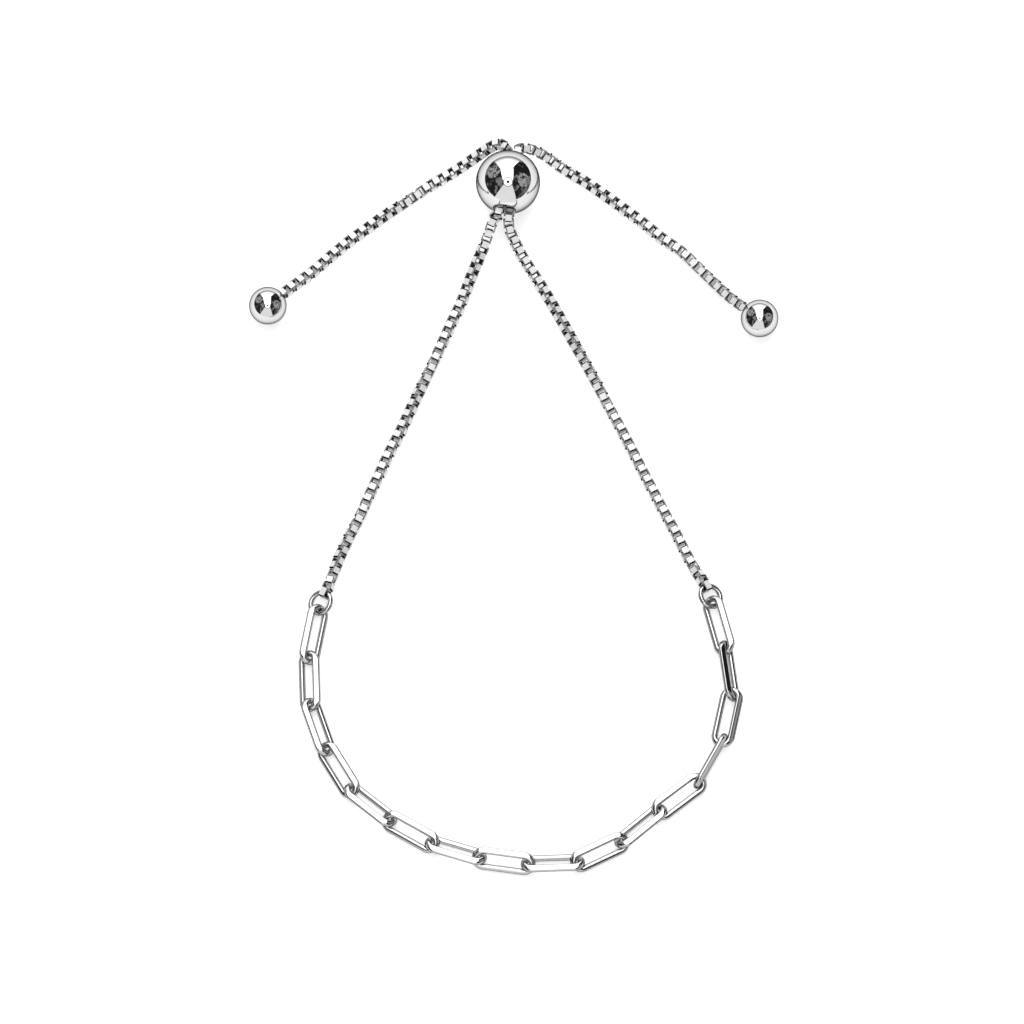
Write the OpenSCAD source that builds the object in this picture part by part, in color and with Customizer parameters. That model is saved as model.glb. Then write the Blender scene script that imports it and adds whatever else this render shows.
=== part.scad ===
/* [Slider bead] */
// Outer diameter of the slider bead
slider_d = 7; // [6:0.1:8]
// Wall of the hollow slider bead
slider_wall = 0.45; // [0.3:0.05:0.8]
// Diameter of the hole that both chains run through
slider_bore = 2.5; // [2.4:0.05:3]

/* [End beads] */
// Outer diameter of each end bead
end_bead_d = 4.1; // [3.6:0.1:5]
// Wall of each hollow end bead
end_bead_wall = 0.4; // [0.3:0.05:0.6]
// Diameter of the hole that the chain's end goes into
end_bead_hole = 1.5; // [1.4:0.05:1.8]
// How far the chain's end reaches inside the bead
chain_in_bead = 1; // [0.6:0.1:1.2]

/* [Paperclip links] */
// Length of a link over its ends
link_len = 6.9; // [6.8:0.05:7.1]
// Width of a link over its rails
link_w = 2.55; // [2.45:0.05:2.7]
// Thickness of a link's wire
link_wire = 0.68; // [0.5:0.02:0.7]
// Depth of the flat that is pressed along the upper rail of a link
link_press = 0.18; // [0.05:0.01:0.2]
// Distance from one joint between links to the next
link_pitch = 5.3; // [5.25:0.05:5.4]

/* [Jump rings] */
// Outer diameter of a jump ring
ring_d = 2.95; // [2.85:0.05:3.1]
// Thickness of a jump ring's wire
ring_wire = 0.54; // [0.4:0.02:0.56]

/* [Box chain] */
// Width of the solid that stands for the box chain, across its flats
chain_w = 1.1; // [1:0.02:1.12]
// Length of the chain's last link, which holds the jump ring
eye_len = 1.2; // [1.16:0.02:1.3]
// Width of the strip that the last link is bent from
eye_strip_w = 0.68; // [0.5:0.02:0.7]
// Thickness of that strip
eye_strip_t = 0.17; // [0.12:0.01:0.18]

/* [Hidden] */
$fn = 64;

// Where the slider bead lies: its hole's front end points along this heading, tilted up
slider_pos = [-0.65, 36.05, slider_d / 2];
slider_heading = -97;
slider_tilt = 5;
// The two chains lie side by side in the hole, this far from its axis and below it
strand_offset = 0.58;
strand_drop = 0.15;
// How far past the surface of a bead a chain runs straight
straight_run = 0.1;

// One row for each end bead: centre, and the heading and tilt of its hole
CENTRE = 0;
BEAD_HEADING = 1;
BEAD_TILT = 2;
end_bead_left_row = [[-26.75, 22.4, end_bead_d / 2], 41, -7];
end_bead_right_row = [[26.7, 20.95, end_bead_d / 2], 142, -7];

// One row for each jump ring: centre, heading and roll of its plane, and where the chain's
// last link sits round it, as an angle in that plane
RING_HEADING = 1;
RING_ROLL = 2;
EYE_ANGLE = 3;
ring_left_row = [[-20.9, -10.95, 0.87], -101, 28, 164];
ring_right_row = [[21.25, -10.2, 0.87], 105, 28, 14];

// One row for each paperclip link, from the left ring round to the right one: heading,
// roll about its own length, and height of the joint at its far end
HEADING = 0;
ROLL = 1;
END_Z = 2;
link_rows = [
    [-101, -34, 0.87],
    [-88, 32, 0.87],
    [-71, -34, 0.87],
    [-59, 31, 0.88],
    [-39, -35, 0.88],
    [-30, 30, 0.89],
    [-17, -36, 0.89],
    [-8, 29, 0.91],
    [2, -37, 0.91],
    [26, 30, 0.95],
    [40, -40, 0.95],
    [37, 20, 1.28],
    [61, 91, 1.28],
    [78, -8, 1.15],
    [98, 60, 1.15],
    [105, -32, 0.87],
];
first_joint = [-21.13, -11.93, 0.87];
// The flat on a link is level when the link is rolled this far to its own side
press_roll = 35;

// Routes of the two chains, from the jump ring to the slider bead and from there to the
// end bead, through points chosen by hand
left_strand = [
    [-19.1, -6.3, 0.6], [-18, -3.7, 0.6], [-16.8, -1.3, 0.6], [-15.7, 1.2, 0.6],
    [-14.6, 3.6, 0.6], [-13.5, 6.1, 0.6], [-12.3, 8.5, 0.6], [-11.2, 11, 0.6],
    [-10.1, 13.5, 0.6], [-9, 15.9, 0.6], [-7.9, 18.3, 0.6], [-6.8, 20.8, 0.65],
    [-5.7, 23.2, 0.8], [-4.8, 25.6, 1.15], [-3.8, 28, 1.75], [-2.9, 30.1, 2.55],
    [-2.2, 31.8, 3.35],
];
left_tail = [
    [-0.9, 40.2, 2.85], [-1.6, 40.7, 2.6], [-2.7, 40.4, 2.2], [-4.4, 39.4, 1.5],
    [-6.7, 38, 0.8], [-9.1, 36.6, 0.6], [-11.4, 35, 0.6], [-13.6, 33.5, 0.6],
    [-15.7, 31.9, 0.6], [-17.8, 30.3, 0.6], [-19.8, 28.6, 0.65], [-21.8, 26.7, 0.9],
    [-23.4, 25.3, 1.35],
];
right_strand = [
    [18.9, -5.9, 0.6], [17.6, -3.2, 0.6], [16.3, -0.7, 0.6], [15.1, 1.7, 0.6],
    [13.9, 4.1, 0.6], [12.7, 6.6, 0.6], [11.5, 9, 0.6], [10.2, 11.5, 0.6],
    [9, 14, 0.6], [7.7, 16.5, 0.6], [6.4, 18.9, 0.6], [5.1, 21.3, 0.65],
    [3.8, 23.6, 0.8], [2.5, 25.7, 1.15], [1.1, 27.8, 1.7], [0.1, 29.6, 2.3],
    [-0.5, 31, 2.95],
];
right_tail = [
    [0.7, 40.1, 2.8], [1.4, 40.2, 2.55], [2.3, 40.1, 2.25], [3.6, 39.6, 1.6],
    [5.2, 38.6, 1], [7.7, 37.1, 0.6], [9.9, 35.5, 0.6], [12, 33.9, 0.6],
    [14.1, 32.3, 0.6], [16.1, 30.6, 0.6], [18.3, 29, 0.6], [20.1, 27.2, 0.65],
    [21.9, 25.3, 0.95], [23.6, 23.5, 1.4],
];

// A tube of eight sides stands for each box chain
tube_sides = 8;
tube_r = chain_w / 2 / cos(180 / tube_sides);

function link_name(number) = str("link_", number < 10 ? "0" : "", number);

function heading_vector(heading, tilt) =
    [cos(tilt) * cos(heading), cos(tilt) * sin(heading), sin(tilt)];

// The joint where link number row ends and the next one starts
function joint_at(row) = row == 0 ? first_joint :
    let(
        start = joint_at(row - 1),
        values = link_rows[row - 1],
        rise = values[END_Z] - start[2],
        reach = sqrt(link_pitch * link_pitch - rise * rise))
    start + [reach * cos(values[HEADING]), reach * sin(values[HEADING]), rise];

// A point in the plane of a jump ring, at a distance and an angle from its centre
function ring_point(row, distance, angle) =
    let(
        along = distance * cos(angle),
        across = distance * sin(angle),
        level = across * cos(row[RING_ROLL]),
        heading = row[RING_HEADING])
    row[CENTRE] + [
        along * cos(heading) - level * sin(heading),
        along * sin(heading) + level * cos(heading),
        across * sin(row[RING_ROLL])];

// A point on a chain inside the slider bead, at a distance along the hole towards its front
function bore_point(distance, side) =
    let(offset = side * strand_offset)
    slider_pos + distance * heading_vector(slider_heading, slider_tilt)
        + [-offset * sin(slider_heading), offset * cos(slider_heading), -strand_drop];

function bead_point(row, distance) =
    row[CENTRE] + distance * heading_vector(row[BEAD_HEADING], row[BEAD_TILT]);

// The whole route of one chain, from its last link at the ring to its end in the bead
function chain_route(ring_row, strand, side, tail, bead_row) =
    let(
        mouth = slider_d / 2 + straight_run,
        start = (ring_d - ring_wire + eye_len - eye_strip_t) / 2)
    concat(
        [ring_point(ring_row, start, ring_row[EYE_ANGLE])],
        strand,
        [for (distance = [mouth, 0, -mouth]) bore_point(distance, side)],
        tail,
        [for (reach = [straight_run, -chain_in_bead])
            bead_point(bead_row, end_bead_d / 2 + reach)]);

function unit(v) = v / norm(v);

// The direction of a route at point number k
function tangent(route, k) =
    let(last = len(route) - 1)
    k == 0 ? unit(route[1] - route[0]) :
    k == last ? unit(route[last] - route[last - 1]) :
    unit(unit(route[k] - route[k - 1]) + unit(route[k + 1] - route[k]));

// The ring of points round a route at point number k
function tube_ring(route, k) =
    let(
        ahead = tangent(route, k),
        side = unit(cross([0, 0, 1], ahead)),
        up = cross(ahead, side))
    [for (i = [0 : tube_sides - 1])
        let(angle = (i + 0.5) * 360 / tube_sides)
        route[k] + tube_r * (cos(angle) * side + sin(angle) * up)];

module tube(route) {
    points = [for (k = [0 : len(route) - 1]) each tube_ring(route, k)];
    walls = [for (k = [0 : len(route) - 2]) for (i = [0 : tube_sides - 1])
        let(
            a = k * tube_sides + i,
            b = k * tube_sides + (i + 1) % tube_sides)
        each [[a, a + tube_sides, b + tube_sides], [a, b + tube_sides, b]]];
    first_cap = [for (i = [0 : tube_sides - 1]) i];
    last_cap = [for (i = [tube_sides - 1 : -1 : 0]) (len(route) - 1) * tube_sides + i];
    polyhedron(points = points, faces = concat([first_cap, last_cap], walls), convexity = 10);
}

module hollow_ball(diameter, wall) {
    difference() {
        sphere(d = diameter);
        sphere(d = diameter - 2 * wall);
    }
}

module slider_bead() {
    color("silver") translate(slider_pos) rotate([0, 90 - slider_tilt, slider_heading])
        difference() {
            hollow_ball(slider_d, slider_wall);
            cylinder(d = slider_bore, h = 2 * slider_d, center = true);
        }
}

module end_bead(row) {
    color("silver") translate(row[CENTRE]) rotate([0, 90 - row[BEAD_TILT], row[BEAD_HEADING]])
        difference() {
            hollow_ball(end_bead_d, end_bead_wall);
            cylinder(d = end_bead_hole, h = end_bead_d);
        }
}

module jump_ring(row) {
    color("gainsboro") translate(row[CENTRE]) rotate([row[RING_ROLL], 0, row[RING_HEADING]])
        rotate_extrude() translate([(ring_d - ring_wire) / 2, 0]) circle(d = ring_wire);
}

// A stadium-shaped loop of round wire, lying flat with its length along X
module oval_loop(length, width, wire) {
    bend_r = (width - wire) / 2;
    half = (length - width) / 2;
    for (s = [-1, 1]) {
        translate([-half, s * bend_r, 0]) rotate([0, 90, 0]) cylinder(d = wire, h = 2 * half);
        translate([s * half, 0, 0]) rotate([0, 0, -90 * s])
            rotate_extrude(angle = 180) translate([bend_r, 0]) circle(d = wire);
    }
}

// The loop with a flat along its upper rail, which is level when the loop has this roll
module pressed_loop(length, width, wire, level_roll) {
    top = (width - wire) / 2 * sin(abs(level_roll)) + wire / 2;
    difference() {
        oval_loop(length, width, wire);
        rotate([-level_roll, 0, 0]) translate([-length / 2, -width / 2, top - link_press])
            cube([length, width, wire]);
    }
}

module paperclip_link(number) {
    start = joint_at(number - 1);
    end = joint_at(number);
    values = link_rows[number - 1];
    slope = asin((end[2] - start[2]) / link_pitch);
    color("gainsboro") translate((start + end) / 2) rotate([0, -slope, values[HEADING]])
        rotate([values[ROLL], 0, 0])
        pressed_loop(link_len, link_w, link_wire, sign(values[ROLL]) * press_roll);
}

// The chain's last link, a square loop of flat strip that goes round the ring's wire
module eye(row) {
    inner_len = eye_len - 2 * eye_strip_t;
    inner_w = chain_w - 2 * eye_strip_t;
    translate(row[CENTRE]) rotate([row[RING_ROLL], 0, row[RING_HEADING]])
        rotate([0, 0, row[EYE_ANGLE]]) translate([(ring_d - ring_wire) / 2, 0, 0]) difference() {
            cube([eye_len, eye_strip_w, chain_w], center = true);
            cube([inner_len, 2 * eye_strip_w, inner_w], center = true);
        }
}

module box_chain(ring_row, strand, side, tail, bead_row) {
    color("lightgray") {
        tube(chain_route(ring_row, strand, side, tail, bead_row));
        eye(ring_row);
    }
}

module box_chain_left() {
    box_chain(ring_left_row, left_strand, -1, left_tail, end_bead_left_row);
}

module box_chain_right() {
    box_chain(ring_right_row, right_strand, 1, right_tail, end_bead_right_row);
}

slider_bead();
end_bead(end_bead_left_row);  // end_bead_left
end_bead(end_bead_right_row);  // end_bead_right
jump_ring(ring_left_row);  // jump_ring_left
jump_ring(ring_right_row);  // jump_ring_right
for (number = [1 : len(link_rows)])
    paperclip_link(number);
box_chain_left();
box_chain_right();
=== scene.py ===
"""Dresses the bolo slider bracelet: beads, jump rings, paperclip links and box chains."""

import logging
import math
from collections.abc import Iterable, Sequence
from dataclasses import dataclass
from enum import Enum
from typing import Any, ClassVar

import bmesh
import bpy
from mathutils import Euler, Matrix, Vector


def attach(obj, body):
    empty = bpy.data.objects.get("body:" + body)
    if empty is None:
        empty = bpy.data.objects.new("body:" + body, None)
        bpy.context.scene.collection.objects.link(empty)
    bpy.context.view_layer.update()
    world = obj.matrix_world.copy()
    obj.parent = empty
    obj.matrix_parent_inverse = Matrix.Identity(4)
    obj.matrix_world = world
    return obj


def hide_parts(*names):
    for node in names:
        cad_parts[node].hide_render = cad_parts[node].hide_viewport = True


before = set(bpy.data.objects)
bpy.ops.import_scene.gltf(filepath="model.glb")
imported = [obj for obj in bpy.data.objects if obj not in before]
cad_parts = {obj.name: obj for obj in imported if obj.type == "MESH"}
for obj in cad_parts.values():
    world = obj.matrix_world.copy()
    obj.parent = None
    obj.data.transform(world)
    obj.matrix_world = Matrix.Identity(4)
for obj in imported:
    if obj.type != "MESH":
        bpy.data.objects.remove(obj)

LOG = logging.getLogger("bracelet")
MM = 0.001
BODY = "root"
# Attribute of a mesh: one where its colour takes painted shade and it turns matt, as in the beads'
# hollow insides, on the box chain's inner faces, sides and bends, and on the steep flanks of wire;
# zero elsewhere
PAINTED_SHADE = "inner"
# Upward share of the normal where the painted shade on a flank of wire is full, and where it ends
FLANK_SHADE_SLOPES = (0.44, 0.76)


class Side(Enum):
    """The two halves of the bracelet, with the sign of the hole's half that each chain uses."""

    LEFT = -1
    RIGHT = 1


class Slot(Enum):
    """The material slots, by name."""

    BEADS = "silver_beads"
    WIRE = "silver_wire"
    CHAIN = "silver_box_chain"


class Nodes:
    """A node tree with short calls that add nodes to it and wire them up."""

    def __init__(self, tree: bpy.types.NodeTree) -> None:
        """Keeps the tree.

        Args:
            tree: the tree that the calls add to.
        """
        self.tree = tree

    def add(
        self, kind: str, inputs: dict[Any, Any] | None = None, **settings: Any
    ) -> bpy.types.Node:
        """Adds one node.

        Args:
            kind: the node's type name.
            inputs: for each input, by name or number, a value or the socket that feeds it.
            **settings: the node's own properties.

        Returns:
            The new node.
        """
        node = self.tree.nodes.new(kind)
        for name, value in settings.items():
            setattr(node, name, value)
        for key, value in (inputs or {}).items():
            if isinstance(value, bpy.types.NodeSocket):
                self.tree.links.new(value, node.inputs[key])
            else:
                node.inputs[key].default_value = value
        return node

    def maths(self, operation: str, *values: Any) -> bpy.types.NodeSocket:
        """Adds a maths node of the tree's kind.

        Args:
            operation: the name of the operation.
            *values: numbers or sockets, in the order of the node's inputs.

        Returns:
            The socket that holds the result.
        """
        node = self.add("ShaderNodeMath", dict(enumerate(values)), operation=operation)
        return node.outputs[0]

    def weigh(self, *parts: tuple[Any, float]) -> Any:
        """Adds up sockets by weight.

        Args:
            *parts: each socket with its weight.

        Returns:
            The socket that holds the sum.
        """
        total = 0.0
        for socket, weight in parts:
            total = self.maths("ADD", total, self.maths("MULTIPLY", socket, weight))
        return total

    def ramp(self, value: Any, low: float, high: float, out: tuple[float, float]) -> Any:
        """Maps a range of a value smoothly to another range.

        Args:
            value: the socket that holds the value.
            low: where the smooth step starts.
            high: where it ends.
            out: the results before the start and after the end.

        Returns:
            The socket that holds the result.
        """
        inputs = {0: value, 1: low, 2: high, 3: out[0], 4: out[1]}
        node = self.add("ShaderNodeMapRange", inputs, interpolation_type="SMOOTHSTEP")
        return node.outputs[0]

    def mix(
        self, share: Any, first: Any, second: Any, colour: bool = False
    ) -> bpy.types.NodeSocket:
        """Blends two numbers or two colours.

        Args:
            share: how much of the second the result has.
            first: the result at a share of zero.
            second: the result at a share of one.
            colour: whether they are colours.

        Returns:
            The socket that holds the result.
        """
        kind, place, out = ("RGBA", 6, 2) if colour else ("FLOAT", 2, 0)
        inputs = {0: share, place: first, place + 1: second}
        return self.add("ShaderNodeMix", inputs, data_type=kind).outputs[out]

    def noise(
        self, place: Any, scale: float, detail: float, distortion: float = 0.0
    ) -> bpy.types.NodeSocket:
        """Adds a cloudy pattern.

        Args:
            place: the socket that holds the place in the pattern.
            scale: how many times the pattern changes over one unit of length.
            detail: how many finer patterns are laid over it.
            distortion: how far the pattern is pulled about.

        Returns:
            The socket that holds the pattern's value, from zero to one.
        """
        inputs = {"Vector": place, "Scale": scale, "Detail": detail, "Distortion": distortion}
        return self.add("ShaderNodeTexNoise", inputs).outputs[0]


class Surface(Nodes):
    """The node tree of a new material, with its shader."""

    def __init__(self, name: str, settings: dict[str, Any]) -> None:
        """Makes the material.

        Args:
            name: the material's name.
            settings: the values of some of the shader's inputs, by name.
        """
        self.material = bpy.data.materials.new(name)
        self.material.use_nodes = True
        super().__init__(self.material.node_tree)
        self.shader = self.tree.nodes["Principled BSDF"]
        for label, value in settings.items():
            self.shader.inputs[label].default_value = value

    def feed(self, label: str, socket: bpy.types.NodeSocket) -> None:
        """Feeds one of the shader's inputs from a socket."""
        self.tree.links.new(socket, self.shader.inputs[label])


@dataclass(frozen=True)
class SilverFinish:
    """Polished silver with faint marks, which takes a painted shade colour and grows duller where
    the mesh is marked for it.
    """

    name: str
    bright: tuple[float, float, float]
    dull: tuple[float, float, float]
    gloss: tuple[float, float]
    mark_size: float
    mark_stretch: tuple[float, float, float]
    mark_depth: float
    # Colour of the painted shade where the mesh is marked
    inside: tuple[float, float, float] = (0.1, 0.1, 0.1)
    inside_matt: float = 0.3
    edge_tint: float = 0.05
    mark_edges: tuple[float, float] = (0.3, 0.75)
    mark_strength: float = 0.25
    mark_detail: float = 4.0
    cloud_size: float = 2.5 * MM
    cloud_detail: float = 3.0
    cloud_edges: tuple[float, float] = (0.35, 0.7)

    def material(self) -> bpy.types.Material:
        """Makes the material.

        Returns:
            A metal whose colour, roughness and bump vary over the surface.
        """
        edge = (self.edge_tint, self.edge_tint, self.edge_tint, 1.0)
        surface = Surface(self.name, {"Metallic": 1.0, "Specular Tint": edge})
        place = surface.add("ShaderNodeTexCoord").outputs["Object"]
        stretched = surface.add(
            "ShaderNodeMapping", {"Vector": place, "Scale": self.mark_stretch}
        ).outputs[0]
        marks = surface.noise(stretched, 1 / self.mark_size, self.mark_detail)
        clouds = surface.noise(place, 1 / self.cloud_size, self.cloud_detail)
        mottle = surface.ramp(clouds, *self.cloud_edges, (0.0, 1.0))
        colour = surface.mix(mottle, (*self.bright, 1.0), (*self.dull, 1.0), colour=True)
        # Painted shade: the marked parts take the dark inside colour, and more roughness
        inner = surface.add("ShaderNodeAttribute", attribute_name=PAINTED_SHADE).outputs["Fac"]
        gloss = surface.ramp(marks, *self.mark_edges, self.gloss)
        matt = surface.maths("MULTIPLY", inner, self.inside_matt)
        relief = {"Height": marks, "Strength": self.mark_strength, "Distance": self.mark_depth}
        shade = surface.mix(inner, colour, (*self.inside, 1.0), colour=True)
        surface.feed("Base Color", shade)
        surface.feed("Roughness", surface.maths("ADD", gloss, matt))
        surface.feed("Normal", surface.add("ShaderNodeBump", relief).outputs[0])
        return surface.material


@dataclass(frozen=True)
class PaperFinish:
    """The matt white paper that the bracelet lies on, which gives off a little light itself."""

    name: str = "white_paper"
    light: tuple[float, float, float] = (0.9, 0.9, 0.9)
    shade: tuple[float, float, float] = (0.885, 0.885, 0.885)
    grain: float = 1.2 * MM
    grain_detail: float = 2.0
    matt: float = 0.9
    glow: float = 0.44

    def material(self) -> bpy.types.Material:
        """Makes the material.

        Returns:
            A matt white with a faint grain.
        """
        surface = Surface(
            self.name,
            {
                "Roughness": self.matt,
                "Specular IOR Level": 0.0,
                "Emission Color": (1.0, 1.0, 1.0, 1.0),
                "Emission Strength": self.glow,
            },
        )
        place = surface.add("ShaderNodeTexCoord").outputs["Object"]
        grain = surface.noise(place, 1 / self.grain, self.grain_detail)
        colour = surface.mix(grain, (*self.light, 1.0), (*self.shade, 1.0), colour=True)
        surface.feed("Base Color", colour)
        return surface.material


BEAD_FINISH = SilverFinish(
    name="mirror_silver",
    bright=(0.635, 0.635, 0.632),
    dull=(0.605, 0.604, 0.6),
    # Near-black painted shade in the beads' hollow insides
    inside=(0.04, 0.04, 0.04),
    gloss=(0.012, 0.03),
    mark_size=0.3 * MM,
    mark_stretch=(1.0, 1.0, 3.0),
    mark_depth=0.00002 * MM,
)
WIRE_FINISH = SilverFinish(
    name="polished_silver_wire",
    bright=(0.54, 0.54, 0.537),
    dull=(0.5, 0.499, 0.495),
    # Painted shade on the steep flanks of the wire
    inside=(0.1, 0.1, 0.1),
    gloss=(0.05, 0.1),
    mark_size=0.12 * MM,
    mark_stretch=(1.0, 1.0, 1.0),
    mark_depth=0.0015 * MM,
)
STRIP_FINISH = SilverFinish(
    name="bright_silver_strip",
    bright=(0.94, 0.939, 0.934),
    dull=(0.88, 0.878, 0.872),
    # Painted shade on the strip's narrow sides, inner faces and bends
    inside=(0.03, 0.03, 0.03),
    gloss=(0.7, 0.8),
    mark_size=0.08 * MM,
    mark_stretch=(1.0, 1.0, 1.0),
    mark_depth=0.0004 * MM,
)


def heading_vector(heading: float, tilt: float) -> Vector:
    """A unit vector.

    Args:
        heading: degrees from +X towards +Y.
        tilt: degrees up from the surface.

    Returns:
        The vector.
    """
    turn, rise = math.radians(heading), math.radians(tilt)
    level = math.cos(rise)
    return Vector((level * math.cos(turn), level * math.sin(turn), math.sin(rise)))


def close_shell(mesh: bpy.types.Mesh, sharp_angle: float) -> None:
    """Turns all faces outwards and shades the mesh smooth, save at its sharp edges.

    Args:
        mesh: the mesh to finish.
        sharp_angle: the angle in degrees from which an edge stays sharp.
    """
    shell = bmesh.new()
    shell.from_mesh(mesh)
    bmesh.ops.recalc_face_normals(shell, faces=shell.faces)
    shell.to_mesh(mesh)
    shell.free()
    mesh.shade_smooth()
    mesh.set_sharp_from_angle(angle=math.radians(sharp_angle))


def paint_flank_shade(mesh: bpy.types.Mesh, share: float) -> None:
    """Paints shade on the steep flanks of wire, fullest where they stand steepest.

    Args:
        mesh: the finished mesh, as the piece lies.
        share: how dark the painted shade on the steepest flank is.
    """
    steep, bright = FLANK_SHADE_SLOPES
    marks = mesh.attributes.new(PAINTED_SHADE, "FLOAT", "POINT")
    for mark, normal in zip(marks.data, mesh.vertex_normals):
        slope = (bright - abs(normal.vector.z)) / (bright - steep)
        mark.value = share * min(1.0, max(0.0, slope))


def show(
    mesh: bpy.types.Mesh,
    name: str,
    replaced: Sequence[str],
    material: bpy.types.Material,
) -> bpy.types.Object:
    """Puts a finished mesh in the scene in place of its CAD nodes.

    Args:
        mesh: the mesh, in metres in the row frame.
        name: the piece's name.
        replaced: the CAD nodes that it stands for.
        material: the finish.

    Returns:
        The piece.
    """
    mesh.name = name
    mesh.materials.clear()
    mesh.materials.append(material)
    piece = bpy.data.objects.new(name, mesh)
    bpy.context.scene.collection.objects.link(piece)
    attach(piece, BODY)
    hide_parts(*replaced)
    LOG.info("%s: %d faces, in place of %s", name, len(mesh.polygons), ", ".join(replaced))
    return piece


class GeometryTree(Nodes):
    """A Geometry Nodes tree that ends by fusing its instances, scaling and painting them."""

    KINDS: ClassVar[dict[type, str]] = {
        float: "Float",
        int: "Int",
        tuple: "Vector",
        bpy.types.Material: "Material",
    }

    def __init__(self, name: str, sizes: dict[str, Any]) -> None:
        """Makes the tree with its named inputs.

        Args:
            name: the tree's name.
            sizes: the value of each input, whose type tells the kind of socket.
        """
        super().__init__(bpy.data.node_groups.new(name, "GeometryNodeTree"))
        face = self.tree.interface
        face.new_socket("Geometry", in_out="INPUT", socket_type="NodeSocketGeometry")
        face.new_socket("Geometry", in_out="OUTPUT", socket_type="NodeSocketGeometry")
        self.values = {}
        for label, value in sizes.items():
            kind = f"NodeSocket{self.KINDS[type(value)]}"
            socket = face.new_socket(label, in_out="INPUT", socket_type=kind)
            self.values[socket.identifier] = value
        self.given = self.add("NodeGroupInput").outputs

    def finish(self, geometry: bpy.types.NodeSocket) -> None:
        """Ends the tree: fuses what it made, turns millimetres into metres and paints it.

        Args:
            geometry: the socket that holds all the instances.
        """
        fused = self.add("GeometryNodeRealizeInstances", {0: geometry})
        metres = self.add("GeometryNodeTransform", {0: fused.outputs[0], "Scale": (MM, MM, MM)})
        painted = self.add(
            "GeometryNodeSetMaterial",
            {"Geometry": metres.outputs[0], "Material": self.given["Material"]},
        )
        self.add("NodeGroupOutput", {0: painted.outputs[0]})

    def bent_loop(
        self, sizes: Sequence[Any], steps: Any, bend: Any, section: Any
    ) -> bpy.types.NodeSocket:
        """Bends a section round a long loop with rounded corners.

        Args:
            sizes: the length and the width of the section's middle line.
            steps: how many points round off each corner.
            bend: the radius of the corners.
            section: the socket that holds the section's outline.

        Returns:
            The socket that holds the loop, its length along X and its width along Y.
        """
        box = self.add("GeometryNodeCurvePrimitiveQuadrilateral", dict(enumerate(sizes)))
        inputs = {"Curve": box.outputs[0], "Count": steps, "Radius": bend}
        path = self.add("GeometryNodeFilletCurve", inputs, mode="POLY")
        inputs = {"Curve": path.outputs[0], "Profile Curve": section}
        return self.add("GeometryNodeCurveToMesh", inputs).outputs[0]

    def run(self, carrier: bpy.types.ID, name: str) -> bpy.types.Mesh:
        """Runs the tree on a curve or a set of points and keeps the result.

        Args:
            carrier: the curve or mesh that the tree works on, in millimetres.
            name: the name of the resulting mesh.

        Returns:
            A plain mesh in metres.
        """
        holder = bpy.data.objects.new(f"{name}_carrier", carrier)
        bpy.context.scene.collection.objects.link(holder)
        modifier = holder.modifiers.new("links", "NODES")
        modifier.node_group = self.tree
        for identifier, value in self.values.items():
            modifier[identifier] = value
        graph = bpy.context.evaluated_depsgraph_get()
        mesh = bpy.data.meshes.new_from_object(holder.evaluated_get(graph), depsgraph=graph)
        holder.modifiers.clear()
        bpy.data.objects.remove(holder)
        return mesh


@dataclass
class TurnedPiece:
    """A piece made as one shell about its own axis, in place of one CAD node."""

    slot: ClassVar[Slot]
    around: ClassVar[int]
    sharp_angle: ClassVar[float] = 60.0

    name: str
    node: str
    centre: tuple[float, float, float]
    heading: float

    def _spin(
        self, shell: bmesh.types.BMesh, profile: Sequence[Sequence[float]], closed: bool
    ) -> list[list[bmesh.types.BMVert]]:
        """Spins a profile round the piece's own axis.

        Args:
            shell: the shell to add to.
            profile: points as distance from the axis and height along it.
            closed: whether the profile's last point joins its first.

        Returns:
            The profile's points at each step of the turn.
        """
        rings = []
        for k in range(self.around):
            turn = 2 * math.pi * k / self.around
            across, aside = math.cos(turn), math.sin(turn)
            rings.append([shell.verts.new((x * across, x * aside, y)) for x, y in profile])
        pairs = list(zip(range(len(profile) - 1), range(1, len(profile))))
        if closed:
            pairs.append((len(profile) - 1, 0))
        for ring, after in zip(rings, rings[1:] + rings[:1]):
            for a, b in pairs:
                shell.faces.new((ring[a], ring[b], after[b], after[a]))
        return rings

    def _settle(self, shell: bmesh.types.BMesh, turn: Matrix) -> bpy.types.Mesh:
        """Moves the shell from its own axes to its place and keeps it as a mesh.

        Args:
            shell: the shell in millimetres, which is used up.
            turn: the rotation from its own axes.

        Returns:
            The finished mesh in metres.
        """
        place = Matrix.Translation(Vector(self.centre)) @ turn.to_4x4()
        shell.transform(Matrix.Scale(MM, 4) @ place)
        mesh = bpy.data.meshes.new(self.name)
        shell.to_mesh(mesh)
        shell.free()
        close_shell(mesh, self.sharp_angle)
        return mesh

    def mesh(self) -> bpy.types.Mesh:
        """Each kind of piece makes its own mesh, in metres."""
        raise NotImplementedError

    def build(self, material: bpy.types.Material) -> bpy.types.Object:
        """Builds the piece and dresses it.

        Args:
            material: the finish.

        Returns:
            The piece.
        """
        return show(self.mesh(), self.name, [self.node], material)


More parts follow.
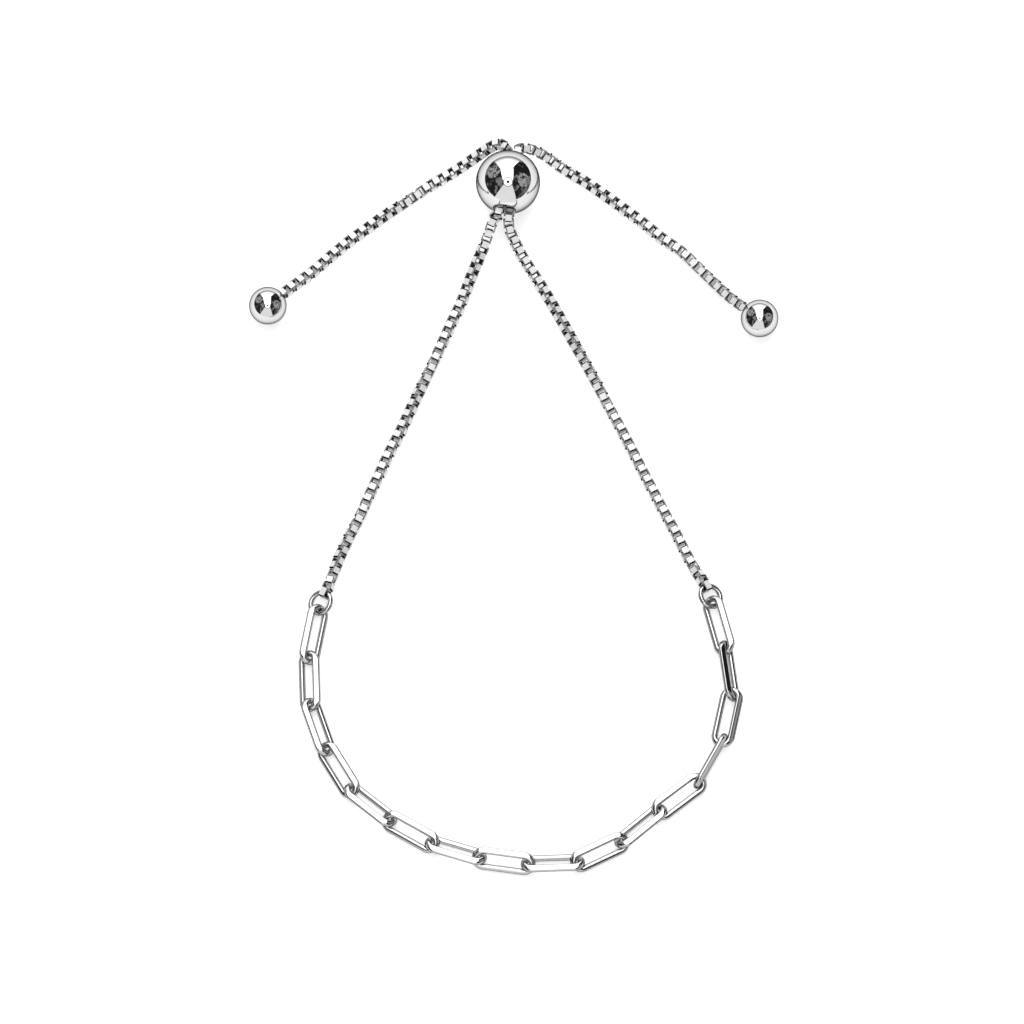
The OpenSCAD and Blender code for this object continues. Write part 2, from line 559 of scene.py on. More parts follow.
@dataclass
class HollowBead(TurnedPiece):
    """A polished hollow ball with one hole, or with one that runs right through."""

    slot: ClassVar[Slot] = Slot.BEADS
    around: ClassVar[int] = 160

    tilt: float
    diameter: float
    wall: float
    hole: float
    through: bool = False
    rim: float = 0.09
    rim_steps: int = 6
    along: int = 96

    def _rim(self, start: Vector, corner: Vector, end: Vector) -> list[Vector]:
        """Rounds a corner of the profile.

        Args:
            start: where the round starts.
            corner: the sharp corner that it takes off.
            end: where it ends.

        Returns:
            The points between start and end.
        """
        shares = [k / self.rim_steps for k in range(1, self.rim_steps)]
        return [
            (1 - t) ** 2 * start + 2 * t * (1 - t) * corner + t * t * end for t in shares
        ]

    def _mouth(self) -> list[Vector]:
        """The profile round the hole's edge, from the outer face to the inner one.

        Returns:
            Points as distance from the axis and height along it.
        """
        hole_r = self.hole / 2
        outer_r, inner_r = self.diameter / 2, self.diameter / 2 - self.wall
        outer = Vector((hole_r, math.sqrt(outer_r**2 - hole_r**2)))
        inner = Vector((hole_r, math.sqrt(inner_r**2 - hole_r**2)))
        outer_turn = math.asin(hole_r / outer_r) + self.rim / outer_r
        inner_turn = math.asin(hole_r / inner_r) + self.rim / inner_r
        outer_start = outer_r * Vector((math.sin(outer_turn), math.cos(outer_turn)))
        inner_end = inner_r * Vector((math.sin(inner_turn), math.cos(inner_turn)))
        drop = Vector((0, self.rim))
        return [
            outer_start,
            *self._rim(outer_start, outer, outer - drop),
            outer - drop,
            inner + drop,
            *self._rim(inner + drop, inner, inner_end),
            inner_end,
        ]

    def _profile(self) -> list[Vector]:
        """The wall's whole section on one side of the axis.

        Returns:
            Points as distance from the axis and height along it, from the back of the outer
            face round the hole's edge to the back of the inner face.
        """
        mouth = self._mouth()
        turns = [math.atan2(mouth[k].x, mouth[k].y) for k in (0, -1)]
        radii = [mouth[k].length for k in (0, -1)]
        last = [math.pi - turn if self.through else math.pi for turn in turns]
        faces = [
            [
                radius
                * Vector(
                    (
                        math.sin(turn + (end - turn) * k / self.along),
                        math.cos(turn + (end - turn) * k / self.along),
                    )
                )
                for k in range(1, self.along)
            ]
            for radius, turn, end in zip(radii, turns, last)
        ]
        profile = [*reversed(faces[0]), *mouth, *faces[1]]
        if self.through:
            profile += [Vector((point.x, -point.y)) for point in reversed(mouth)]
        return profile

    def mesh(self) -> bpy.types.Mesh:
        """Spins the section round the hole's axis.

        Returns:
            The bead's mesh in metres.
        """
        shell = bmesh.new()
        inner = shell.verts.layers.float.new(PAINTED_SHADE)
        rings = self._spin(shell, self._profile(), self.through)
        if not self.through:
            radii = (self.diameter / 2, self.diameter / 2 - self.wall)
            for radius, end in zip(radii, (0, -1)):
                pole = shell.verts.new((0, 0, -radius))
                for ring, after in zip(rings, rings[1:] + rings[:1]):
                    shell.faces.new((pole, ring[end], after[end]))
        # Painted shade: the inner sphere and the hole's wall are marked to take a near-black
        # colour, and turn matt as an unpolished inside
        bare = self.diameter / 2 - self.rim
        for point in shell.verts:
            point[inner] = 1.0 if point.co.length < bare else 0.0
        turn = Euler((0, math.radians(90 - self.tilt), math.radians(self.heading))).to_matrix()
        return self._settle(shell, turn)


@dataclass
class JumpRing(TurnedPiece):
    """A closed ring of round wire between a box chain and the paperclip links."""

    slot: ClassVar[Slot] = Slot.WIRE
    around: ClassVar[int] = 144

    roll: float
    eye_angle: float
    diameter: float = 2.95
    wire: float = 0.54
    # How dark the painted shade on the ring's steep flanks is
    flank_shade: float = 0.7
    section: int = 40

    @property
    def bend(self) -> float:
        """The radius of the wire's middle line."""
        return (self.diameter - self.wire) / 2

    def turn(self) -> Matrix:
        """The ring's own axes, as a rotation from a ring that lies flat."""
        return Euler((math.radians(self.roll), 0, math.radians(self.heading))).to_matrix()

    def point(self, distance: float) -> Vector:
        """A point in the ring's plane, in the direction of the box chain.

        Args:
            distance: how far it is from the ring's middle.

        Returns:
            The point in millimetres.
        """
        angle = math.radians(self.eye_angle)
        along = Vector((distance * math.cos(angle), distance * math.sin(angle), 0))
        return Vector(self.centre) + self.turn() @ along

    def mesh(self) -> bpy.types.Mesh:
        """Bends the wire into a ring.

        Returns:
            The ring's mesh in metres.
        """
        shell = bmesh.new()
        half = self.wire / 2
        angles = [2 * math.pi * i / self.section for i in range(self.section)]
        profile = [(self.bend + half * math.cos(a), half * math.sin(a)) for a in angles]
        self._spin(shell, profile, closed=True)
        mesh = self._settle(shell, self.turn())
        # Painted shade on the ring's steep flanks
        paint_flank_shade(mesh, self.flank_shade)
        return mesh


@dataclass
class PaperclipLinks:
    """The sixteen long links, each one through the next, from ring to ring."""

    name: str = "paperclip_links"
    length: float = 6.9
    width: float = 2.55
    wire: float = 0.68
    pitch: float = 5.3
    press: float = 0.09
    press_roll: float = 31.0
    spread: float = 0.2
    # How far below the flat the spread starts and is full, in radii of the wire
    spread_start: float = 1.8
    spread_full: float = 0.7
    crown: float = 0.12
    # How dark the painted shade on the links' steep flanks is
    flank_shade: float = 0.5
    bend_steps: int = 18
    # Just under half the loop's width, so that the rounded ends never meet
    bend_share: float = 0.4999
    section: int = 36
    sharp_angle: float = 40.0
    first_joint: tuple[float, float, float] = (-21.13, -11.93, 0.87)
    # Heading, roll about its own length and height of the far joint, for each link
    rows: tuple[tuple[float, float, float], ...] = (
        (-101, -34, 0.87),
        (-88, 32, 0.87),
        (-71, -34, 0.87),
        (-59, 31, 0.88),
        (-39, -35, 0.88),
        (-30, 30, 0.89),
        (-17, -36, 0.89),
        (-8, 29, 0.91),
        (2, -37, 0.91),
        (26, 30, 0.95),
        (40, -40, 0.95),
        (37, 20, 1.28),
        (61, 91, 1.28),
        (78, -8, 1.15),
        (98, 60, 1.15),
        (105, -32, 0.87),
    )

    def places(self) -> list[tuple[Vector, Vector, float]]:
        """Walks from joint to joint.

        Returns:
            For each link its middle in millimetres, its turn as three angles, and the side
            of its pressed rail as the sign of Y.
        """
        joint = Vector(self.first_joint)
        found = []
        for heading, roll, far_height in self.rows:
            rise = far_height - joint.z
            slope = math.asin(rise / self.pitch)
            far = joint + self.pitch * heading_vector(heading, math.degrees(slope))
            turn = Vector((math.radians(roll), -slope, math.radians(heading)))
            found.append(((joint + far) / 2, turn, math.copysign(1.0, roll)))
            joint = far
        return found

    def _tree(self, material: bpy.types.Material) -> GeometryTree:
        """Makes the tree that sets a long loop of wire at each point.

        Args:
            material: the finish.

        Returns:
            The tree.
        """
        tree = GeometryTree(
            "paperclip_links",
            {
                "Link length": self.length,
                "Link width": self.width,
                "Wire": self.wire,
                "Bend steps": self.bend_steps,
                "Section": self.section,
                "Press": self.press,
                "Press roll": math.radians(self.press_roll),
                "Spread": self.spread,
                "Crown": self.crown,
                "Material": material,
            },
        )
        given = tree.given
        middle_length = tree.maths("SUBTRACT", given["Link length"], given["Wire"])
        middle_width = tree.maths("SUBTRACT", given["Link width"], given["Wire"])
        bend = tree.maths("MULTIPLY", middle_width, self.bend_share)
        radius = tree.maths("MULTIPLY", given["Wire"], 0.5)
        section = tree.add(
            "GeometryNodeCurvePrimitiveCircle",
            {"Resolution": given["Section"], "Radius": radius},
        )
        sizes = (middle_length, middle_width)
        loop = tree.bent_loop(sizes, given["Bend steps"], bend, section.outputs[0])
        pressed = self._pressed(tree, loop, bend, radius)
        turn = tree.add("GeometryNodeInputNamedAttribute", {0: "turn"}, data_type="FLOAT_VECTOR")
        rotation = tree.add("FunctionNodeEulerToRotation", {0: turn.outputs[0]})
        side = tree.add("GeometryNodeInputNamedAttribute", {0: "side"}, data_type="FLOAT")
        mirror = tree.add("ShaderNodeCombineXYZ", {0: 1.0, 1: side.outputs[0], 2: 1.0})
        links = tree.add(
            "GeometryNodeInstanceOnPoints",
            {
                "Points": given["Geometry"],
                "Instance": pressed,
                "Rotation": rotation.outputs[0],
                "Scale": mirror.outputs[0],
            },
        )
        tree.finish(links.outputs[0])
        return tree

    def _pressed(self, tree: GeometryTree, loop: Any, bend: Any, radius: Any) -> Any:
        """Adds the nodes that press the rail on the +Y side flat and spread it inwards.

        Args:
            tree: the tree to add to.
            loop: the socket that holds the loop of round wire.
            bend: the socket that holds the radius of the loop's bends.
            radius: the socket that holds the wire's radius.

        Returns:
            The socket that holds the pressed loop.
        """
        given = tree.given
        place = tree.add("GeometryNodeInputPosition").outputs[0]
        along, across, up = tree.add("ShaderNodeSeparateXYZ", {0: place}).outputs
        rise = tree.maths("SINE", given["Press roll"])
        reach = tree.maths("COSINE", given["Press roll"])

        def product(a: Any, b: Any) -> Any:
            """Multiplies two sockets."""
            return tree.maths("MULTIPLY", a, b)

        height = tree.maths("ADD", product(across, rise), product(up, reach))
        aside = tree.maths("SUBTRACT", product(across, reach), product(up, rise))
        top = tree.maths("ADD", product(bend, rise), radius)
        level = tree.maths("SUBTRACT", top, given["Press"])
        outer = tree.maths("ADD", product(bend, reach), radius)
        below = tree.maths("SUBTRACT", level, product(radius, self.spread_start))
        full = tree.maths("SUBTRACT", level, product(radius, self.spread_full))
        inputs = {0: height, 1: below, 2: full, 3: 0.0, 4: given["Spread"]}
        share = tree.add("ShaderNodeMapRange", inputs, interpolation_type="SMOOTHSTEP").outputs[0]
        grown = product(tree.maths("SUBTRACT", aside, outer), tree.maths("ADD", share, 1.0))
        moved = tree.maths("ADD", outer, grown)
        over = tree.maths("MAXIMUM", tree.maths("SUBTRACT", height, level), 0.0)
        crown = tree.maths("SUBTRACT", 1.0, given["Crown"])
        capped = tree.maths("SUBTRACT", height, product(over, crown))
        new_across = tree.maths("ADD", product(capped, rise), product(moved, reach))
        new_up = tree.maths("SUBTRACT", product(capped, reach), product(moved, rise))
        spot = tree.add("ShaderNodeCombineXYZ", {0: along, 1: new_across, 2: new_up})
        pressed = tree.add("GeometryNodeSetPosition", {0: loop, "Position": spot.outputs[0]})
        return pressed.outputs[0]

    def build(self, material: bpy.types.Material) -> bpy.types.Object:
        """Builds all the links and dresses them.

        Args:
            material: the finish.

        Returns:
            The piece.
        """
        places = self.places()
        points = bpy.data.meshes.new("link_points")
        points.from_pydata([middle for middle, _, _ in places], [], [])
        turns = points.attributes.new("turn", "FLOAT_VECTOR", "POINT")
        for row, (_, turn, _) in zip(turns.data, places):
            row.vector = turn
        sides = points.attributes.new("side", "FLOAT", "POINT")
        for row, (_, _, side) in zip(sides.data, places):
            row.value = side
        mesh = self._tree(material).run(points, self.name)
        close_shell(mesh, self.sharp_angle)
        # Painted shade on the links' steep flanks
        paint_flank_shade(mesh, self.flank_shade)
        nodes = [f"link_{number:02d}" for number in range(1, len(places) + 1)]
        return show(mesh, self.name, nodes, material)


@dataclass
class BoxChain:
    """One box chain, from its jump ring through the slider bead into its end bead."""

    name: str
    node: str
    side: Side
    ring: JumpRing
    slider: HollowBead
    end_bead: HollowBead
    # Point on the route and roll of the chain there, positive where its left side turns up
    strand: tuple[tuple[float, float, float, float], ...]
    hole_rolls: tuple[float, float, float]
    tail: tuple[tuple[float, float, float, float], ...]
    end_roll: float
    pitch: float = 0.65
    link_length: float = 0.97
    link_width: float = 1.15
    strip_width: float = 0.68
    strip: float = 0.155
    corner: float = 0.08
    corner_steps: int = 2
    end_link_length: float = 1.2
    ring_gap: float = 0.015
    hole_offset: float = 0.585
    middle_offset: float = 0.68
    hole_drop: float = 0.08
    reach_in_bead: float = 0.6
    mouth_gap: float = 0.1
    paper_gap: float = 0.01
    step: float = 0.08
    sharp_angle: float = 20.0
    # How dark the painted shade is on the strip's narrow sides and on its inner faces
    side_shade: float = 0.45
    inside_shade: float = 0.95
    # Mean of the corners' marks from which a face is a narrow side, and an inner face
    side_from: float = 0.25
    inside_from: float = 0.75
    # Product of the normal's shares along the link and across it, from which a face is a bend that
    # takes full painted shade
    bend_from: float = 0.2

    def _half_height(self, roll: float) -> float:
        """How far the chain reaches below its middle line at a roll.

        Args:
            roll: the roll in degrees.

        Returns:
            The distance in millimetres.
        """
        across, down = abs(math.cos(math.radians(roll))), abs(math.sin(math.radians(roll)))
        wide, narrow = self.link_width / 2, self.strip_width / 2
        return max(wide * across + narrow * down, narrow * across + wide * down)

    def _hole_point(self, distance: float, offset: float) -> Vector:
        """A point of the chain inside the slider bead.

        Args:
            distance: how far it is from the bead's middle towards its front.
            offset: how far it is from the hole's axis.

        Returns:
            The point in millimetres.
        """
        heading = math.radians(self.slider.heading)
        aside = self.side.value * offset
        shift = Vector((-aside * math.sin(heading), aside * math.cos(heading), -self.hole_drop))
        ahead = heading_vector(self.slider.heading, self.slider.tilt)
        return Vector(self.slider.centre) + distance * ahead + shift

    def _knots(self) -> list[tuple[Vector, float]]:
        """The points that the route goes through, from the jump ring to the end bead.

        Returns:
            Each point with the chain's roll there.
        """
        near_end = self.ring.wire / 2 + self.ring_gap
        first = self.ring.point(self.ring.bend + near_end + self.link_length / 2)
        mouth = self.slider.diameter / 2 + self.mouth_gap
        hole = (
            (mouth, self.hole_offset),
            (0.0, self.middle_offset),
            (-mouth, self.hole_offset),
        )
        inwards = heading_vector(self.end_bead.heading, self.end_bead.tilt)
        bead_r = self.end_bead.diameter / 2
        ends = (bead_r + self.mouth_gap, bead_r - self.reach_in_bead)
        strand = [(Vector(row[:3]), row[3]) for row in self.strand]
        return [
            (first, self._first_roll(first, strand[0])),
            *strand,
            *((self._hole_point(*row), roll) for row, roll in zip(hole, self.hole_rolls)),
            *((Vector(row[:3]), row[3]) for row in self.tail),
            *((Vector(self.end_bead.centre) + end * inwards, self.end_roll) for end in ends),
        ]

    def _first_roll(self, first: Vector, after: tuple[Vector, float]) -> float:
        """The roll that sets the first plain link square to the link on the jump ring.

        Args:
            first: the first point of the route.
            after: the next point, and the roll that the photo shows there.

        Returns:
            The roll in degrees that is nearest to the next point's.
        """
        ahead = (after[0] - first).normalized()
        right = ahead.cross(Vector((0, 0, 1))).normalized()
        down = ahead.cross(right)
        angle = math.radians(self.ring.eye_angle + 90)
        wire_way = self.ring.turn() @ Vector((math.cos(angle), math.sin(angle), 0))
        roll = math.degrees(math.atan2(wire_way.dot(down), wire_way.dot(right)))
        return roll + 180 * round((after[1] - roll) / 180)

    def route(self) -> list[tuple[Vector, float]]:
        """Smooths the route with a cubic spline and lifts it where the chain would touch the floor.

        Returns:
            Closely spaced points with the chain's roll at each.
        """
        knots = self._knots()
        ends = [knots[0], *knots, knots[-1]]
        route = []
        for k in range(1, len(ends) - 2):
            before, start, end, after = (ends[k + i] for i in (-1, 0, 1, 2))
            steps = max(2, round((end[0] - start[0]).length / self.step))
            for i in range(steps):
                t = i / steps
                point = 0.5 * (
                    2 * start[0]
                    + t * (end[0] - before[0])
                    + t * t * (2 * before[0] - 5 * start[0] + 4 * end[0] - after[0])
                    + t**3 * (3 * start[0] - before[0] - 3 * end[0] + after[0])
                )
                ease = t * t * (3 - 2 * t)
                route.append((point, start[1] + ease * (end[1] - start[1])))
        route.append(knots[-1])
        for point, roll in route:
            point.z = max(point.z, self._half_height(roll) + self.paper_gap)
        return route

    def _curve(self) -> tuple[bpy.types.Curve, int]:
        """Lays the route as a curve whose tilt is the chain's roll.

        Returns:
            The curve in millimetres and the number of links that fit on it.
        """
        route = self.route()
        curve = bpy.data.curves.new(f"{self.name}_route", "CURVE")
        curve.dimensions = "3D"
        curve.twist_mode = "Z_UP"
        spline = curve.splines.new("POLY")
        spline.points.add(len(route) - 1)
        for point, (place, roll) in zip(spline.points, route):
            point.co = (*place, 1.0)
            point.tilt = math.radians(roll)
        length = sum((b[0] - a[0]).length for a, b in zip(route, route[1:]))
        return curve, round(length / self.pitch) + 1

    def _strip_loop(self, tree: GeometryTree, length: Any) -> bpy.types.NodeSocket:
        """Adds the nodes that bend one link from flat strip.

        Args:
            tree: the tree to add to.
            length: the socket that holds the link's length.

        Returns:
            The link, its length along Z, its width along X and its strip's width along Y.
        """
        given = tree.given
        sizes = [
            tree.maths("SUBTRACT", size, given["Strip"]) for size in (length, given["Link width"])
        ]
        section = tree.add(
            "GeometryNodeCurvePrimitiveQuadrilateral",
            {0: given["Strip"], 1: given["Strip width"]},
        )
        place = tree.add("GeometryNodeInputPosition").outputs[0]
        depth = tree.add("ShaderNodeSeparateXYZ", {0: place}).outputs[0]
        inner = tree.maths("LESS_THAN", depth, 0.0)
        marked = tree.add(
            "GeometryNodeStoreNamedAttribute",
            {"Geometry": section.outputs[0], "Name": PAINTED_SHADE, "Value": inner},
            data_type="FLOAT",
        )
        loop = tree.bent_loop(sizes, self.corner_steps, given["Corner"], marked.outputs[0])
        share = tree.add("GeometryNodeInputNamedAttribute", {0: PAINTED_SHADE}, data_type="FLOAT")
        at_side, inside = (
            tree.maths("GREATER_THAN", share.outputs[0], start)
            for start in (self.side_from, self.inside_from)
        )
        # Painted shade: the narrow sides, the inner faces and the bends at the corners take the
        # dark colour
        side_and_inside_shade = tree.weigh((at_side, self.side_shade), (inside, self.inside_shade - self.side_shade))
        normal = tree.add("GeometryNodeInputNormal").outputs[0]
        way = tree.add("ShaderNodeSeparateXYZ", {0: normal}).outputs
        both = tree.maths("MULTIPLY", way[0], way[1])
        bend_shade = tree.maths("GREATER_THAN", tree.maths("ABSOLUTE", both), self.bend_from)
        shaded = tree.maths("MAXIMUM", side_and_inside_shade, bend_shade)
        faces = tree.add(
            "GeometryNodeStoreNamedAttribute",
            {"Geometry": loop, "Name": PAINTED_SHADE, "Value": shaded},
            data_type="FLOAT",
            domain="FACE",
        )
        upright = Matrix(((0, 1, 0), (0, 0, 1), (1, 0, 0))).to_euler()
        turned = tree.add(
            "GeometryNodeTransform", {0: faces.outputs[0], "Rotation": upright[:]}
        )
        return turned.outputs[0]

    def _tree(self, material: bpy.types.Material, count: int) -> GeometryTree:
        """Makes the tree that sets links along the route, each a quarter turn from the last.

        Args:
            material: the finish.
            count: the number of links.

        Returns:
            The tree.
        """
        angle = math.radians(self.ring.eye_angle)
        along = Matrix.Rotation(angle, 3, "Z")
        upright = Matrix(((0, 0, 1), (0, 1, 0), (-1, 0, 0)))
        end_turn = (self.ring.turn() @ along @ upright).to_euler()
        tree = GeometryTree(
            f"{self.name}_tree",
            {
                "Link count": count,
                "Link length": self.link_length,
                "Link width": self.link_width,
                "Strip width": self.strip_width,
                "Strip": self.strip,
                "Corner": self.corner,
                "End link length": self.end_link_length,
                "End link place": self.ring.point(self.ring.bend)[:],
                "End link turn": end_turn[:],
                "Material": material,
            },
        )
        given = tree.given
        spots = tree.add(
            "GeometryNodeCurveToPoints",
            {"Curve": given["Geometry"], "Count": given["Link count"]},
            mode="COUNT",
        )
        number = tree.add("GeometryNodeInputIndex").outputs[0]
        odd = tree.maths("MODULO", number, 2.0)
        quarter = tree.maths("MULTIPLY", odd, math.pi / 2)
        turn = tree.add(
            "FunctionNodeAxisAngleToRotation", {"Axis": (0.0, 0.0, 1.0), "Angle": quarter}
        )
        rotation = tree.add(
            "FunctionNodeRotateRotation",
            {0: spots.outputs["Rotation"], 1: turn.outputs[0]},
            rotation_space="LOCAL",
        )
        links = tree.add(
            "GeometryNodeInstanceOnPoints",
            {
                "Points": spots.outputs["Points"],
                "Instance": self._strip_loop(tree, given["Link length"]),
                "Rotation": rotation.outputs[0],
            },
        )
        end_link = tree.add(
            "GeometryNodeTransform",
            {
                0: self._strip_loop(tree, given["End link length"]),
                "Translation": given["End link place"],
                "Rotation": given["End link turn"],
            },
        )
        both = tree.add("GeometryNodeJoinGeometry")
        for part in (links, end_link):
            tree.tree.links.new(part.outputs[0], both.inputs[0])
        tree.finish(both.outputs[0])
        return tree

    def build(self, material: bpy.types.Material) -> bpy.types.Object:
        """Builds the chain and dresses it.

        Args:
            material: the finish.

        Returns:
            The piece.
        """
        curve, count = self._curve()
        mesh = self._tree(material, count).run(curve, self.name)
        close_shell(mesh, self.sharp_angle)
        LOG.info("%s: %d links", self.name, count + 1)
        return show(mesh, self.name, [self.node], material)


@dataclass
class Studio:
    """White paper under the bracelet, a white sweep behind and above it, and the camera."""

    elevation: float = 73.0
    distance: float = 1.5
    view_width: float = 110.94 * MM
    target: tuple[float, float, float] = (-0.211 * MM, -0.4305 * MM, 0.0)
    sensor: float = 36.0
    floor_size: float = 6.0
    sweep_light: float = 3.0
    front_light: float = 1.15
    horizon_light: float = 0.4
    room_light: float = 0.02
    backdrop: float = 1.0
    # Radii in degrees of the grey edge, the ring light and the lens in its middle
    ring_edge: float = 17.5
    ring_light: float = 14.0
    lens_eye: float = 5.5
    # Directions of the two grey patches in the room, and their radius in degrees
    grey_right: tuple[float, float, float] = (0.853, -0.059, 0.52)
    grey_left: tuple[float, float, float] = (-0.736, 0.407, 0.54)
    grey_size: float = 22.0
    grey_light: float = 0.55
    # Each edge of the sweep, as its half width's share of how far a direction points back and up
    right_slopes: tuple[tuple[float, float], ...] = ((-0.45, 0.06), (0.06, 0.33), (0.6, -0.12))
    left_slopes: tuple[tuple[float, float], ...] = ((-0.85, -0.13), (0.26, 0.36), (0.645, 0.07))
    edge_blur: float = 0.01
    # The front of the sweep: how fast its edge falls with height, and half the edge's width
    front_slope: float = 0.42
    front_blur: float = 0.03
    sweep_rise: tuple[float, float] = (0.03, 0.62)
    # The dark room: size and detail of its patches, how far they are pulled about, and their edges
    room_noise: tuple[float, float, float] = (3.2, 3.0, 0.6)
    room_edges: tuple[float, float] = (0.48, 0.66)
    room_patch: float = 0.3
    speckle_noise: tuple[float, float, float] = (7.0, 2.0, 1.2)
    speckle_edges: tuple[float, float] = (0.42, 0.55)
    speckle_dark: float = 0.08
    disc_blur: float = 0.04
    clip_start: float = 0.01
    clip_end: float = 20.0

    def floor(self) -> None:
        """Lays the paper."""
        half = self.floor_size / 2
        mesh = bpy.data.meshes.new("paper_floor")
        corners = [(-half, -half, 0), (half, -half, 0), (half, half, 0), (-half, half, 0)]
        mesh.from_pydata(corners, [], [(0, 1, 2, 3)])
        mesh.materials.append(PaperFinish().material())
        paper = bpy.data.objects.new("paper_floor", mesh)
        bpy.context.scene.collection.objects.link(paper)

    def _widest(
        self, nodes: Nodes, back: Any, up: Any, slopes: Iterable[tuple[float, float]]
    ) -> Any:
        """The widest of several straight edges of the sweep.

        Args:
            nodes: the tree to add to.
            back: the socket that holds how far a direction points to the back.
            up: the socket that holds how far it points up.
            slopes: for each edge the share of back and of up in its half width.

        Returns:
            The socket that holds the half width.
        """
        widths = [nodes.weigh((back, rear), (up, rise)) for rear, rise in slopes]
        widest = widths[0]
        for width in widths[1:]:
            widest = nodes.maths("MAXIMUM", widest, width)
        return widest

    def _disc(self, nodes: Nodes, near: Any, radius: float) -> Any:
        """A round patch of the world about some direction.

        Args:
            nodes: the tree to add to.
            near: the socket that holds the cosine of the angle from that direction.
            radius: the patch's radius in degrees.

        Returns:
            The socket that holds one inside the patch and zero outside it.
        """
        shares = (1 + self.disc_blur, 1 - self.disc_blur)
        edges = [math.cos(math.radians(radius * share)) for share in shares]
        return nodes.ramp(near, *edges, (0.0, 1.0))

    def _sweep(self, nodes: Nodes, right: Any, back: Any, up: Any) -> tuple[Any, Any]:
        """The white sweep.

        Args:
            nodes: the tree to add to.
            right: the socket that holds how far a direction points to the right.
            back: the socket that holds how far it points to the back.
            up: the socket that holds how far it points up.

        Returns:
            The socket that holds one inside the sweep and zero in the room beside it, and the
            socket that holds the sweep's light.
        """
        right_edge = self._widest(nodes, back, up, self.right_slopes)
        left_edge = self._widest(nodes, back, up, self.left_slopes)
        margins = (nodes.maths("SUBTRACT", right_edge, right), nodes.maths("ADD", left_edge, right))
        inside = [
            nodes.ramp(margin, -self.edge_blur, self.edge_blur, (0.0, 1.0)) for margin in margins
        ]
        high = nodes.ramp(up, *self.sweep_rise, (self.horizon_light, self.sweep_light))
        behind = nodes.weigh((back, 1.0), (up, self.front_slope))
        front = nodes.ramp(behind, -self.front_blur, self.front_blur, (1.0, 0.0))
        return nodes.maths("MULTIPLY", *inside), nodes.mix(front, high, self.front_light)

    def _room(self, nodes: Nodes, way: Any) -> Any:
        """The dark room beside the sweep, with its faint patches.

        Args:
            nodes: the tree to add to.
            way: the socket that holds the direction.

        Returns:
            The socket that holds the room's light.
        """
        patches = nodes.noise(way, *self.room_noise)
        room = nodes.ramp(patches, *self.room_edges, (self.room_light, self.room_patch))
        speckle = nodes.noise(way, *self.speckle_noise)
        shine = nodes.ramp(speckle, *self.speckle_edges, (self.speckle_dark, 1.0))
        for place in (self.grey_right, self.grey_left):
            close = nodes.add(
                "ShaderNodeVectorMath", {0: way, 1: place}, operation="DOT_PRODUCT"
            ).outputs["Value"]
            grey = nodes.maths("MULTIPLY", self._disc(nodes, close, self.grey_size), shine)
            room = nodes.maths("MAXIMUM", room, nodes.maths("MULTIPLY", grey, self.grey_light))
        return room

    def world(self) -> None:
        """Makes the white sweep with its open, dark sides, as the beads mirror it."""
        world = bpy.data.worlds.new("studio")
        bpy.context.scene.world = world
        world.use_nodes = True
        world.node_tree.nodes.clear()
        nodes = Nodes(world.node_tree)
        way = nodes.add("ShaderNodeTexCoord").outputs["Generated"]
        right, back, up = nodes.add("ShaderNodeSeparateXYZ", {0: way}).outputs
        inside, sweep = self._sweep(nodes, right, back, up)
        light = nodes.mix(inside, self._room(nodes, way), sweep)
        tilt = math.radians(90 - self.elevation)
        near = nodes.weigh((back, -math.sin(tilt)), (up, math.cos(tilt)))
        # Three discs where the photo's camera stood, each one over the one before
        for radius, disc_light in (
            (self.ring_edge, self.horizon_light),
            (self.ring_light, self.sweep_light),
            (self.lens_eye, self.room_light),
        ):
            light = nodes.mix(self._disc(nodes, near, radius), light, disc_light)
        camera_seen = nodes.add("ShaderNodeLightPath").outputs["Is Camera Ray"]
        shown = nodes.mix(camera_seen, light, self.backdrop)
        background = nodes.add("ShaderNodeBackground", {"Color": (1, 1, 1, 1), "Strength": shown})
        nodes.add("ShaderNodeOutputWorld", {0: background.outputs[0]})

    def camera(self) -> None:
        """Sets the camera at the photo's angle."""
        data = bpy.data.cameras.new("camera")
        data.sensor_width = self.sensor
        data.lens = self.sensor * self.distance / self.view_width
        data.clip_start = self.clip_start
        data.clip_end = self.clip_end
        camera = bpy.data.objects.new("camera", data)
        tilt = math.radians(90 - self.elevation)
        back = Vector((0, -math.sin(tilt), math.cos(tilt)))
        camera.location = Vector(self.target) + self.distance * back
        camera.rotation_euler = (tilt, 0, 0)
        bpy.context.scene.collection.objects.link(camera)
        bpy.context.scene.camera = camera

    def build(self) -> None:
        """Sets up the floor, the light and the camera."""
        self.floor()
        self.world()
        self.camera()
        bpy.context.scene.view_settings.view_transform = "Standard"
        LOG.info("studio: paper floor, white sweep, camera at %.0f degrees", self.elevation)


SLIDER = HollowBead(
    name="slider_ball",
    node="slider_bead",
    centre=(-0.65, 36.05, 3.5),
    heading=-97,
    tilt=5,
    diameter=7,
    wall=0.45,
    hole=2.5,
    through=True,
    rim=0.12,
)
END_LEFT = HollowBead(
    name="end_ball_left",
    node="end_bead_left",
    centre=(-26.75, 22.4, 2.05),
    heading=41,
    tilt=-7,
    diameter=4.1,
    wall=0.4,
    hole=1.5,
)
END_RIGHT = HollowBead(
    name="end_ball_right",
    node="end_bead_right",
    centre=(26.7, 20.95, 2.05),
    heading=142,
    tilt=-7,
    diameter=4.1,
    wall=0.4,
    hole=1.5,
)
RING_LEFT = JumpRing(
    name="ring_left",
    node="jump_ring_left",
    centre=(-20.9, -10.95, 0.87),
    heading=-101,
    roll=28,
    eye_angle=164,
)
RING_RIGHT = JumpRing(
    name="ring_right",
    node="jump_ring_right",
    centre=(21.25, -10.2, 0.87),
    heading=105,
    roll=28,
    eye_angle=14,
)
